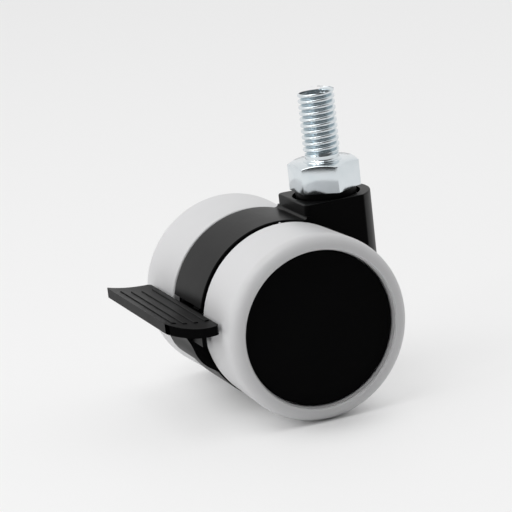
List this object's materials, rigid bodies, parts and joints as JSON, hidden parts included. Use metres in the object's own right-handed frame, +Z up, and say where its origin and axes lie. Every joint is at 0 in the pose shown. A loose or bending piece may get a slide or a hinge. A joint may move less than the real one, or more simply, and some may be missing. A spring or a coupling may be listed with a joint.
{
  "type": "furniture castor",
  "caption": "Twin-wheel furniture castor with a threaded swivel stem and a foot pedal that locks the wheels.",
  "frame": {"origin": "on the swivel axis, at the top face of the hexagon, which seats under the furniture", "axes": "+Z up along the thread; -X from the stem forward over the wheels to the pedal; Y along the wheel axle"},
  "size_m": [0.0698, 0.068, 0.0813],
  "materials": {
    "zinc_plate": "bright zinc plate",
    "black_plastic": "moulded nylon, satin",
    "cap_plastic": "moulded plastic, matte",
    "core_plastic": "moulded plastic, satin",
    "bush_plastic": "natural acetal, smooth",
    "grey_tread": "soft moulded tread, matte"
  },
  "bodies": {
    "stem": {"threaded_stem": "zinc_plate", "stem_clip": "zinc_plate"},
    "housing": {"housing": "black_plastic", "swivel_bush": "black_plastic", "thrust_washer": "zinc_plate", "axle": "zinc_plate", "spacer_left": "zinc_plate", "spacer_right": "zinc_plate", "keeper_left": "zinc_plate", "keeper_right": "zinc_plate"},
    "wheel_left": {"wheel_bush_left": "bush_plastic", "wheel_core_left": "core_plastic", "tyre_left": "grey_tread", "cap_left": "cap_plastic"},
    "wheel_right": {"wheel_bush_right": "bush_plastic", "wheel_core_right": "core_plastic", "tyre_right": "grey_tread", "cap_right": "cap_plastic"},
    "brake_lever": {"brake_lever": "black_plastic", "lever_pin": "zinc_plate"}
  },
  "joints": [
    {"name": "swivel", "type": "hinge", "parent": "stem", "child": "housing", "pos_m": [0, 0, 0], "axis": [0, 0, 1], "continuous": true},
    {"name": "wheel_left_spin", "type": "hinge", "parent": "housing", "child": "wheel_left", "pos_m": [-0.019, 0, -0.0366], "axis": [0, 1, 0], "continuous": true},
    {"name": "wheel_right_spin", "type": "hinge", "parent": "housing", "child": "wheel_right", "pos_m": [-0.019, 0, -0.0366], "axis": [0, 1, 0], "continuous": true},
    {"name": "brake_press", "type": "hinge", "parent": "housing", "child": "brake_lever", "pos_m": [-0.03599, 0, -0.0396], "axis": [0, -1, 0], "range_deg": [0, 12]}
  ]
}
